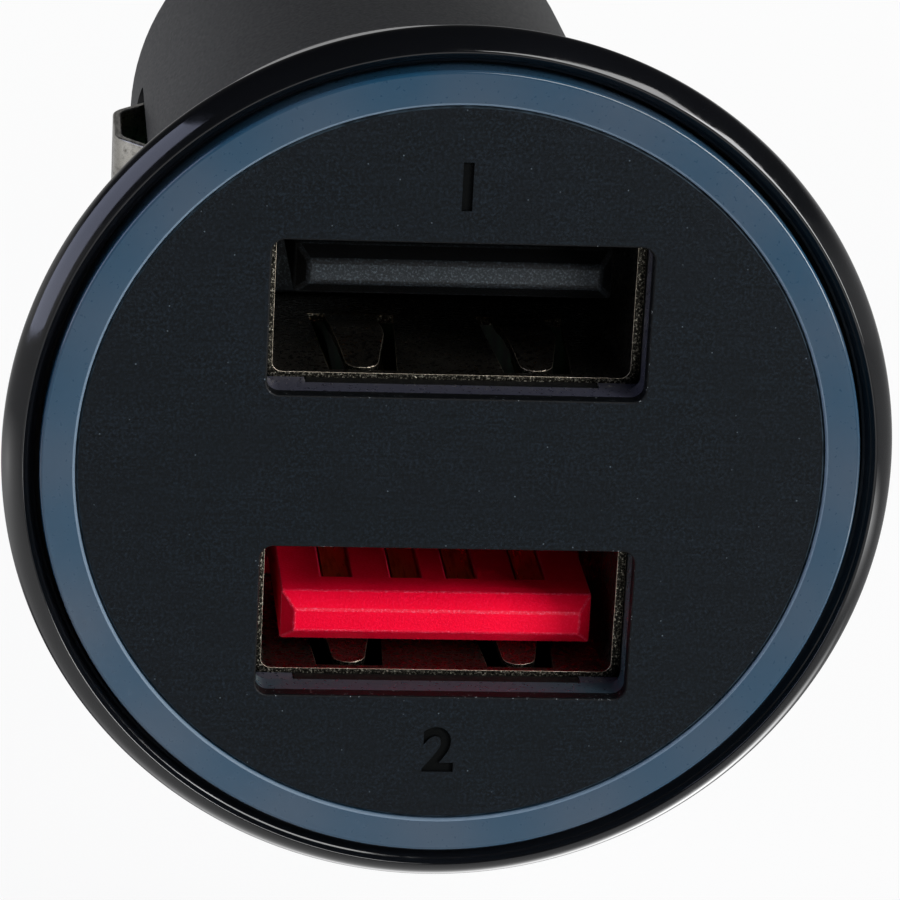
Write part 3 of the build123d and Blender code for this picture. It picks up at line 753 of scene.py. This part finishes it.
def disc_with_openings():
    """Face plate: its edge circle with a chamfer, each opening's edge, and the flat filled in between.

    The chamfer takes the fourth material, the openings' edges the third, and the rest the first.
    """
    rim = [(12.95, FRONT + PLATE), (12.95, FRONT + 0.07), (12.88, FRONT)]
    circle = turned(rim, PLATE_STEPS, closed=False)
    lip = [(0.06, 0.0), (0.02, 0.02), (0.0, 0.06), (0.0, PLATE)]
    lips = [framed(*OPENING, lip, centre, closed=False) for centre in (UPPER, LOWER)]
    verts, faces = joined(circle, *lips)
    mesh = bpy.data.meshes.new("face_disc")
    mesh.from_pydata((verts * MM).tolist(), [], faces)
    number = np.arange(len(faces))
    kind = np.select([number < PLATE_STEPS, number < 2 * PLATE_STEPS], [0, 3], 2)
    set_faces(mesh, "material_index", kind)
    bm = bmesh.new()
    bm.from_mesh(mesh)
    for depth in (0.0, PLATE):
        level = (FRONT + depth) * MM
        edges = [e for e in bm.edges if e.is_boundary and all(abs(v.co.y - level) < 1e-7 for v in e.verts)]
        filled = bmesh.ops.triangle_fill(bm, use_beauty=True, use_dissolve=False, edges=edges)
        for face in filled["geom"]:
            if isinstance(face, bmesh.types.BMFace):
                face.material_index = 0
    bmesh.ops.recalc_face_normals(bm, faces=bm.faces)
    bm.to_mesh(mesh)
    bm.free()
    return mesh


def face_piece(settings):
    """Face plate with its openings, and both numerals cut into it."""
    mesh = disc_with_openings()
    face = anodised_face(settings.face_colour)
    numeral_black = moulded("Engraved_black")
    # The chamfer's paler line is a painted highlight.
    chipped, rim_highlight = edge_finish("Cut_anodised_edge"), edge_finish("Anodised_rim_painted_highlight")
    add_materials(mesh, face, numeral_black, chipped, rim_highlight)
    piece = placed("face_disc", mesh)
    for text, centre in (("1", 10.15), ("2", -10.35)):
        numeral = numeral_mesh(text, settings.numeral_height, centre, settings.numeral_depth)
        add_materials(numeral, face, numeral_black)
        set_faces(numeral, "material_index", 1)
        cutter = placed("cutter", numeral)
        removal = modify(piece, "BOOLEAN", operation="DIFFERENCE", solver="EXACT", object=cutter)
        bpy.context.view_layer.update()
        evaluated = piece.evaluated_get(bpy.context.evaluated_depsgraph_get())
        done = bpy.data.meshes.new_from_object(evaluated)
        piece.modifiers.remove(removal)
        bpy.data.objects.remove(cutter)
        piece.data = done
    piece.data.name = "face_disc"
    set_faces(piece.data, "use_smooth", True, bool)
    sharpen(piece, 20)
    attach(piece, "charger")
    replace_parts(piece, "face_plate")


def finger_edges(depth):
    """Half width of a finger and of its window at a depth behind the shell's mouth.

    The finger flares from its rounded tip over its first part, then grows slowly to the root.
    """
    share = np.clip((depth - FINGER_TIP) / (FINGER_ROOT - FINGER_TIP), 0, 1)
    flare = np.clip((depth - 0.7) / 2.3, 0, 1)
    finger = 0.54 + 0.33 * flare + 0.06 * share
    tip = np.clip((depth - FINGER_TIP) / 0.4, 0, 1)
    finger = finger * np.sqrt(np.clip(1 - (1 - tip) ** 2, 0.02, 1))
    window = 1.2 + 0.35 * share
    return finger, window


def wall_patches(side):
    """Broad wall of a port's shell as patches round two finger windows, on a grid of x and depth."""
    z = side * SHELL_INNER[1] / 2
    half = SHELL_INNER[0] / 2 - SHELL_INNER[2]
    patches = []

    def patch(left, right, depth, columns):
        u = np.linspace(0, 1, columns)
        x = np.reshape(left, (-1, 1)) * (1 - u) + np.reshape(right, (-1, 1)) * u
        patches.append(surface(x, depth[:, None], z))

    middle = np.linspace(WINDOW_FRONT, FINGER_ROOT, 40)
    window = finger_edges(middle)[1]
    patch(-half, -FINGER_MIDDLE - window, middle, 4)
    patch(-FINGER_MIDDLE + window, FINGER_MIDDLE - window, middle, 6)
    patch(FINGER_MIDDLE + window, half, middle, 4)
    for start, stop, end in ((0.0, WINDOW_FRONT, WINDOW_FRONT), (FINGER_ROOT, SHELL_LENGTH, FINGER_ROOT)):
        edge = finger_edges(end)[1]
        inner, outer = FINGER_MIDDLE - edge, FINGER_MIDDLE + edge
        stops = [-half, -outer, -inner, inner, outer, half]
        for left, right, columns in zip(stops, stops[1:], (4, 3, 6, 3, 4)):
            patch(left, right, np.linspace(start, stop, 4), columns)
    return patches


def finger_surface(side, centre_x, bow):
    """Spring finger: a strip whose height dips by bow times a smooth hump over its length.

    The hump is sin(90 degrees s / k) to the 1.3 up to its crest at the share s = k of the length, and
    cos(90 degrees (s - k) / (1 - k)) squared from there to the root.
    """
    depth = np.linspace(FINGER_TIP + 0.02, FINGER_ROOT, 48)
    share = (depth - FINGER_TIP) / (FINGER_ROOT - FINGER_TIP)
    crest = 0.38
    rise = np.sin(np.clip(share / crest, 0, 1) * math.pi / 2) ** 1.3
    fall = np.cos(np.clip((share - crest) / (1 - crest), 0, 1) * math.pi / 2) ** 2
    hump = np.where(share < crest, rise, fall)
    x = centre_x + finger_edges(depth)[0][:, None] * np.linspace(-1, 1, 13)
    z = side * (SHELL_INNER[1] / 2 - bow * hump)
    return surface(x, depth[:, None], z[:, None])


def shell_surface(bow):
    """Inner face of a port's shell: two broad walls with windows and fingers, two plain sides."""
    surfaces = []
    for side in (-1, 1):
        surfaces += wall_patches(side)
        for centre_x in (-FINGER_MIDDLE, FINGER_MIDDLE):
            surfaces.append(finger_surface(side, centre_x, bow))
    width, height, radius = SHELL_INNER
    rows = ((0, WINDOW_FRONT, 4), (WINDOW_FRONT, FINGER_ROOT, 40), (FINGER_ROOT, SHELL_LENGTH, 4))
    depth = np.unique(np.concatenate([np.linspace(*row) for row in rows]))
    a = np.linspace(0, math.pi / 2, 7)
    x = width / 2 - radius + radius * np.sin(a)
    z = height / 2 - radius + radius * np.cos(a)
    x, z = np.concatenate([x, x[::-1]]), np.concatenate([z, -z[::-1]])
    for side in (-1, 1):
        surfaces.append(surface(side * x, depth[:, None], z))
    return joined(*surfaces)


def port_shell(name, lower, bow, *finishes):
    """Stamped shell of one port, its sheet given thickness outwards from the inner face.

    The lower port is the upper one turned half round. The finishes are those of the sheet, of its
    sheared edges and of its rounded corners.
    """
    axis = LOWER if lower else UPPER
    turn = (-1, 1, -1) if lower else (1, 1, 1)
    verts, faces = shell_surface(bow)
    verts = verts * turn + (0, FRONT + SHELL_MOUTH, axis)
    piece = new_piece(name, verts, faces, *finishes, slot="receptacle_shells")
    bm = bmesh.new()
    bm.from_mesh(piece.data)
    bmesh.ops.remove_doubles(bm, verts=bm.verts, dist=2e-6)
    for face in bm.faces:
        outwards = face.calc_center_median() - Vector((0, 0, axis * MM))
        outwards.y = 0
        if face.normal.dot(outwards) > 0:
            face.normal_flip()
    bm.to_mesh(piece.data)
    bm.free()
    modify(piece, "SOLIDIFY", thickness=SHEET * MM, offset=-1, use_even_offset=True, material_offset_rim=1)
    # The rounded edges take the third finish, whose pale colour is a painted highlight.
    bevel(piece, 0.1, 50, material=2)
    return piece


def insulator_piece(name, source, edge, *finishes):
    """Insulator of a port: the CAD solid with its edges rounded off and rubbed, on the upper tongue also
    darkened as painted shade.

    The finishes are those of its front, of its edges and of the faces whose normal leaves -Y. On the upper
    tongue the last finish is the grey darkened as painted shade.
    """
    bm = bmesh.new()
    bm.from_mesh(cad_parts[source].data)
    bmesh.ops.remove_doubles(bm, verts=bm.verts, dist=1e-6)
    bmesh.ops.dissolve_limit(bm, angle_limit=math.radians(1), verts=bm.verts, edges=bm.edges)
    bmesh.ops.recalc_face_normals(bm, faces=bm.faces)
    mesh = bpy.data.meshes.new(name)
    bm.to_mesh(mesh)
    bm.free()
    add_materials(mesh, *finishes)
    piece = placed(name, mesh)
    bevel(piece, edge, 20, material=1, harden_normals=True)
    set_faces(mesh, "use_smooth", True, bool)
    front = vectors(mesh.polygons, "normal")[:, 1] < -0.95
    set_faces(mesh, "material_index", np.where(front, 0, 2))
    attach(piece, "charger")
    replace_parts(piece, source)


def leaf_piece(name, side, thickness, finish):
    """Side contact: a bowed leaf, its section (x, y) carried across its width."""
    tab, crest, width = 8.246, 11.025, 5.0
    path = [(tab, 11.6), (tab, 14.4), (crest, 17.866), (crest, 22.134), (tab, 25.6), (tab, 28.4)]
    half = thickness / 2
    lines = rounded(path, [0, 1.4, 1.6, 1.6, 1.4, 0], 10)
    step = np.gradient(lines, axis=0)
    normal = np.stack([step[:, 1], -step[:, 0]], -1) / np.linalg.norm(step, axis=1)[:, None]
    section = np.concatenate([lines + normal * half, (lines - normal * half)[::-1]])
    x, y = section.T[:, :, None]
    z = np.linspace(-width / 2, width / 2, 9)
    verts, faces = surface(side * x, y, z, wrap_rows=True)
    faces = faces.tolist()
    count, total, n = len(lines), len(section), len(z)
    for k in (0, n - 1):
        faces += [
            [i * n + k, (i + 1) * n + k, (total - 2 - i) * n + k, (total - 1 - i) * n + k]
            for i in range(count - 1)
        ]
    piece = new_piece(name, verts, faces, finish, slot="side_contacts", body=name.replace("leaf", "contact"))
    tidy_mesh(piece)
    bevel(piece, 0.06, 50, segments=2)
    sharpen(piece, 50)
    return piece


def coil_piece(finish):
    """Contact spring: a round wire along a helix that closes up at both ends.

    Its first and last tenth rise by 0.07 of the height each, and the middle by the rest.
    """
    turns, low, high = 5.5, 29.36, 38.65
    coil_radius, wire_radius, sides = 3.3, 0.3, 12
    t = np.linspace(0, 1, 440)
    rise = np.clip((t - 0.1) / 0.8, 0, 1)
    rise = rise * 0.86 + 0.07 * np.clip(t / 0.1, 0, 1) + 0.07 * np.clip((t - 0.9) / 0.1, 0, 1)
    a = 2 * math.pi * turns * t
    path = np.stack([coil_radius * np.cos(a), low + (high - low) * rise, coil_radius * np.sin(a)], -1)
    along = np.gradient(path, axis=0)
    along /= np.linalg.norm(along, axis=1)[:, None]
    out = np.stack([np.cos(a), 0 * a, np.sin(a)], -1)
    up = np.cross(along, out)
    b = np.linspace(0, 2 * math.pi, sides, endpoint=False)[:, None]
    verts = path[:, None] + wire_radius * (np.cos(b) * out[:, None] + np.sin(b) * up[:, None])
    faces = grid_faces(len(path), sides, wrap_columns=True).tolist()
    faces += [list(range(sides)), [(len(path) - 1) * sides + k for k in range(sides)]]
    piece = new_piece("coil_spring", verts.reshape(-1, 3), faces, finish, slot="contact_spring")
    tidy_mesh(piece)
    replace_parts(piece, "contact_spring")
    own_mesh(piece)


def plunger_piece(finish):
    """Centre contact: domed tip, shaft, flange and stem, in one turned surface with broken edges."""
    a = np.radians(np.linspace(5.5, 88, 16))
    dome = np.stack([2.3 * np.sin(a), 44.5 + 1.5 * np.cos(a)], -1)
    rest = [
        (2.3, 40.25),
        (4.5, 40.2),
        (4.6, 40.1),
        (4.6, 39.1),
        (4.5, 39.0),
        (2.2, 39.0),
        (2.2, 35.2),
        (2.0, 35.0),
        (0.0, 35.0),
    ]
    verts, faces = turned(np.array([(0.0, 46.0), *dome, *rest]), 96, closed=False)
    piece = new_piece("contact_plunger", verts, faces, finish, slot="centre_contact", body="centre_contact")
    tidy_mesh(piece)
    sharpen(piece, 40)
    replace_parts(piece, "centre_contact")


def paint(finish, *names):
    """Gives CAD nodes their finish."""
    for name in names:
        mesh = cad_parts[name].data
        mesh.materials.clear()
        mesh.materials.append(finish)


# Operators


class CHARGER_OT_head(bpy.types.Operator):
    """Build the polished head round the face"""

    bl_idname = "charger.head"
    bl_label = "Head"

    def execute(self, context):
        head_piece(context.scene.charger_head)
        return {"FINISHED"}


class CHARGER_OT_face(bpy.types.Operator):
    """Build the anodised face with its numerals, and the light ring"""

    bl_idname = "charger.face"
    bl_label = "Face and light ring"

    def execute(self, context):
        settings = context.scene.charger_face
        face_piece(settings)
        ring_piece(settings)
        opening_pieces()
        paint(moulded("Black_frame_ABS"), "front_frame")
        return {"FINISHED"}


class CHARGER_OT_ports(bpy.types.Operator):
    """Build the stamped shells of both ports and finish their insulators and contacts"""

    bl_idname = "charger.ports"
    bl_label = "Ports"

    def execute(self, context):
        settings = context.scene.charger_ports
        sheared = edge_finish("Sheared_nickel_edge")
        finishes = metal("Nickel_plated_steel"), sheared, metal("Nickel_edge_painted_highlight")
        bow = settings.finger_bow / MM
        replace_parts(port_shell("upper_port_shell", False, bow, *finishes), "upper_receptacle_shell")
        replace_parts(port_shell("lower_port_shell", True, bow, *finishes), "lower_receptacle_shell")
        grey = grained_nylon("Grey_glass_filled_nylon", settings.upper_colour)
        red = grained_nylon("Crimson_glass_filled_nylon", settings.lower_colour)
        # The dark base of the grey tongue's edges is painted shade; their paler specks are wear.
        worn_shaded_grey = grained_nylon("Worn_and_shaded_grey_nylon")
        rubbed_red = grained_nylon("Rubbed_crimson_nylon")
        # The upper tongue's near-black flanks are painted shade.
        grey_painted_shade = grained_nylon("Grey_nylon_painted_shade")
        insulator_piece("upper_tongue", "upper_insulator", 0.12, grey, worn_shaded_grey, grey_painted_shade)
        insulator_piece("lower_tongue", "lower_insulator", 0.07, red, rubbed_red, red)
        paint(metal("Gold_flashed_bronze"), "upper_contacts", "lower_contacts")
        return {"FINISHED"}


class CHARGER_OT_plug(bpy.types.Operator):
    """Finish the plug barrel and build its sprung contacts"""

    bl_idname = "charger.plug"
    bl_label = "Plug"

    def execute(self, context):
        settings = context.scene.charger_plug
        paint(moulded("Black_grained_polycarbonate", settings.barrel_colour), "barrel_housing")
        paint(moulded("Black_nose_polycarbonate", settings.barrel_colour), "nose_cap")
        spring_strip = metal("Nickel_plated_spring_strip")
        thickness = settings.leaf_thickness / MM
        for word, side in (("right", 1), ("left", -1)):
            piece = leaf_piece("side_leaf_" + word, side, thickness, spring_strip)
            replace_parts(piece, "side_contact_" + word)
        coil_piece(metal("Spring_wire"))
        plunger_piece(metal("Turned_nickel_plated_brass"))
        paint(metal("Tinned_brass"), "positive_terminal")
        return {"FINISHED"}


class CHARGER_OT_inside(bpy.types.Operator):
    """Finish the boards and the parts on them"""

    bl_idname = "charger.inside"
    bl_label = "Inside"

    def execute(self, context):
        paint(board_finish(), "led_board", "port_board", "main_board")
        paint(moulded("Pressed_ferrite"), "power_inductor", "output_inductor")
        paint(moulded("Epoxy_package"), "controller_chips", "power_transistors", "chip_resistors")
        paint(moulded("Fired_ceramic"), "ceramic_capacitors")
        paint(metal("Drawn_aluminium_can"), "capacitors")
        paint(moulded("Lamp_silicone"), "leds")
        paint(metal("Gold_flashed_pin"), "led_board_pins")
        return {"FINISHED"}


class CHARGER_OT_stage(bpy.types.Operator):
    """Build the floor, the lamps and the camera"""

    bl_idname = "charger.stage"
    bl_label = "Stage"

    def execute(self, context):
        settings = context.scene.charger_stage
        scene = context.scene
        add_floor(settings.floor_drop)
        add_world(scene)
        add_lamps()
        add_camera(scene, settings.lens)
        scene.view_settings.view_transform = "Standard"
        return {"FINISHED"}


# Pools of light on the floor as gloss sees it: centre and radii in metres, strength. The first five
# lie under the right of the head, under its front, to its left, to its right and in front of it. The
# last three darken the floor far in front of it, behind it and under it.
POOLS = (
    ((0.022, -0.0065), (0.032, 0.0105), 8.0),
    ((-0.004, -0.006), (0.026, 0.014), 2.4),
    ((-0.1, 0.0), (0.09, 0.09), 1.6),
    ((0.075, -0.045), (0.04, 0.04), 7.0),
    ((-0.014, -0.07), (0.07, 0.09), 1.0),
    ((0.05, -0.15), (0.12, 0.13), -0.4),
    ((0.005, 0.05), (0.09, 0.09), -0.58),
    ((-0.01, 0.015), (0.05, 0.017), -1.6),
)


def add_floor(drop):
    """Round white floor.

    The camera sees it as white paper, less the object's shadow. In gloss it is a dimmer white with oval
    pools of light, each its strength times (1 - distance in radii) squared.
    """
    radius, sides = 2, 96
    a = np.linspace(0, 2 * math.pi, sides, endpoint=False)
    verts = np.stack([radius * np.cos(a), radius * np.sin(a), np.full(sides, -drop)], -1)
    mesh = bpy.data.meshes.new("floor")
    mesh.from_pydata(verts.tolist(), [], [list(range(sides))])
    made, tree, where = material("White_paper", "#f4f4f4", Roughness=0.9)
    paper = tree.nodes["Principled BSDF"].outputs[0]
    rays = node(tree, "LightPath", out=None).outputs
    eye = {0: rays["Is Camera Ray"], 1: rays["Is Transmission Ray"]}
    see = node(tree, "Math", eye, operation="MAXIMUM")
    both = node(tree, "Math", {0: see, 1: rays["Is Glossy Ray"]}, operation="MAXIMUM")
    lit = 0.42
    for centre, radii, bright in POOLS:
        scale = (1 / radii[0], 1 / radii[1], 0)
        at = (-centre[0] / radii[0], -centre[1] / radii[1], 0)
        spot = node(tree, "Mapping", {"Vector": where, "Scale": scale, "Location": at})
        fall = node(tree, "TexGradient", {"Vector": spot}, out="Fac", gradient_type="SPHERICAL")
        soft = node(tree, "Math", {0: fall, 1: 2.0}, operation="POWER")
        glare = node(tree, "Math", {0: soft, 1: bright}, operation="MULTIPLY")
        lit = node(tree, "Math", {0: glare, 1: lit}, operation="ADD")
    lit = node(tree, "Math", {0: lit, 1: 0.03}, operation="MAXIMUM")
    strength = node(tree, "MapRange", {0: see, 3: lit, 4: 1.0})
    glow = node(tree, "Emission", {"Color": "#ffffff", "Strength": strength})
    away = node(tree, "VectorMath", {0: where}, out="Value", operation="LENGTH")
    own = node(tree, "MapRange", {0: away, 1: 0.12, 2: 0.5, 3: 0.92, 4: 1.0})
    share = node(tree, "Math", {0: both, 1: own}, operation="MULTIPLY")
    shown = node(tree, "MixShader", {0: share, 1: paper, 2: glow})
    feed(tree, tree.nodes["Material Output"], {"Surface": shown})
    mesh.materials.append(made)
    floor = placed("floor", mesh)


def add_world(scene):
    """World: white to the camera, and for the rest bright at the horizon, dim overhead and in front."""
    world = bpy.data.worlds.new("Studio")
    scene.world = world
    world.use_nodes = True
    tree = world.node_tree
    tree.nodes.clear()
    parts = node(tree, "SeparateXYZ", {0: node(tree, "TexCoord", out="Generated")}, out=None).outputs
    heights = [(0.0, 0.5), (0.14, 0.45), (0.34, 0.06), (0.7, 0.015)]
    sky = node(tree, "ValToRGB", {0: parts["Z"]}, stops=heights)
    ahead = node(tree, "MapRange", {0: parts["Y"], 1: -0.98, 2: -0.5, 3: 0.1, 4: 1.0})
    sky = node(tree, "Mix", {0: 1.0, 6: sky, 7: ahead}, out=2, data_type="RGBA", blend_type="MULTIPLY")
    seen = node(tree, "LightPath", out="Is Camera Ray")
    shade = node(tree, "Mix", {0: seen, 6: sky, 7: "#ffffff"}, out=2, data_type="RGBA")
    back = node(tree, "Background", {"Color": shade, "Strength": 1.0})
    node(tree, "OutputWorld", {"Surface": back}, out=None)


def add_lamp(name, spot, target, size, power, tint="#ffffff"):
    """Soft rectangular lamp at a spot that faces a target, with places and size in metres."""
    data = bpy.data.lights.new(name, "AREA")
    data.shape = "RECTANGLE"
    data.size, data.size_y = size
    data.energy = power
    data.color = colour(tint)[:3]
    lamp = placed(name, data)
    spot, target = Vector(spot), Vector(target)
    lamp.location = spot
    lamp.rotation_mode = "QUATERNION"
    lamp.rotation_quaternion = (target - spot).to_track_quat("-Z", "Y")
    lamp.visible_camera = False
    return lamp


def add_lamps():
    """Key from the right, a lamp above it, a soft window on the left and a weak lamp behind.

    Gloss ignores the one behind.
    """
    face = (0, FRONT * MM, 0)
    add_lamp("key", (0.317, -0.3, 0.113), face, (0.149, 0.285), 1.55)
    add_lamp("top", (0.158, -0.276, 0.246), face, (0.22, 0.125), 0.6)
    add_lamp("window", (-0.3, -0.04, 0.13), face, (0.28, 0.26), 0.55, "#d3dafa")
    back = add_lamp("back", (0.1, 0.36, 0.26), (0, 0.02, 0), (0.2, 0.2), 0.6)
    back.visible_glossy = False


def add_camera(scene, lens):
    """Camera at the viewing angle of the photograph, solved from its rim circles and port edges.

    It looks past the middle of the face by small shifts, all in metres.
    """
    azimuth, elevation, roll = math.radians(-6.09), math.radians(18.46), math.radians(3.04)
    distance, shift_left, shift_up = 0.14605, 0.000101, 0.000749
    level = math.cos(elevation)
    back = Vector((math.sin(azimuth) * level, -math.cos(azimuth) * level, math.sin(elevation)))
    right = Vector((math.cos(azimuth), math.sin(azimuth), 0))
    up = back.cross(right)
    turned_right = right * math.cos(roll) + up * math.sin(roll)
    turned_up = up * math.cos(roll) - right * math.sin(roll)
    spot = back * distance - turned_right * shift_left + turned_up * shift_up
    spot += Vector((0, FRONT * MM, 0))
    data = bpy.data.cameras.new("camera")
    data.lens = lens
    data.sensor_width = 36
    data.clip_start, data.clip_end = 0.005, 20
    camera = placed("camera", data)
    turn = Matrix((turned_right, turned_up, back)).transposed()
    camera.matrix_world = Matrix.Translation(spot) @ turn.to_4x4()
    scene.camera = camera


class CHARGER_PT_panel(bpy.types.Panel):
    """Charger"""

    bl_idname = "CHARGER_PT_panel"
    bl_label = "In-car charger"
    bl_space_type = "VIEW_3D"
    bl_region_type = "UI"
    bl_category = "Charger"

    def draw(self, context):
        layout = self.layout
        for name, group in GROUPS:
            box = layout.box()
            settings = getattr(context.scene, name)
            for key in group.__annotations__:
                box.prop(settings, key)
        for operator in OPERATORS:
            layout.operator(operator.bl_idname)


GROUPS = (
    ("charger_head", ChargerHead),
    ("charger_face", ChargerFace),
    ("charger_ports", ChargerPorts),
    ("charger_plug", ChargerPlug),
    ("charger_stage", ChargerStage),
)
OPERATORS = (
    CHARGER_OT_head,
    CHARGER_OT_face,
    CHARGER_OT_ports,
    CHARGER_OT_plug,
    CHARGER_OT_inside,
    CHARGER_OT_stage,
)


def register():
    for name, group in GROUPS:
        bpy.utils.register_class(group)
        setattr(bpy.types.Scene, name, bpy.props.PointerProperty(type=group))
    for operator in OPERATORS:
        bpy.utils.register_class(operator)
    bpy.utils.register_class(CHARGER_PT_panel)


def unregister():
    bpy.utils.unregister_class(CHARGER_PT_panel)
    for operator in reversed(OPERATORS):
        bpy.utils.unregister_class(operator)
    for name, group in reversed(GROUPS):
        delattr(bpy.types.Scene, name)
        bpy.utils.unregister_class(group)


def main():
    register()
    for operator in OPERATORS:
        group, name = operator.bl_idname.split(".")
        getattr(getattr(bpy.ops, group), name)()


if __name__ == "__main__":
    main()
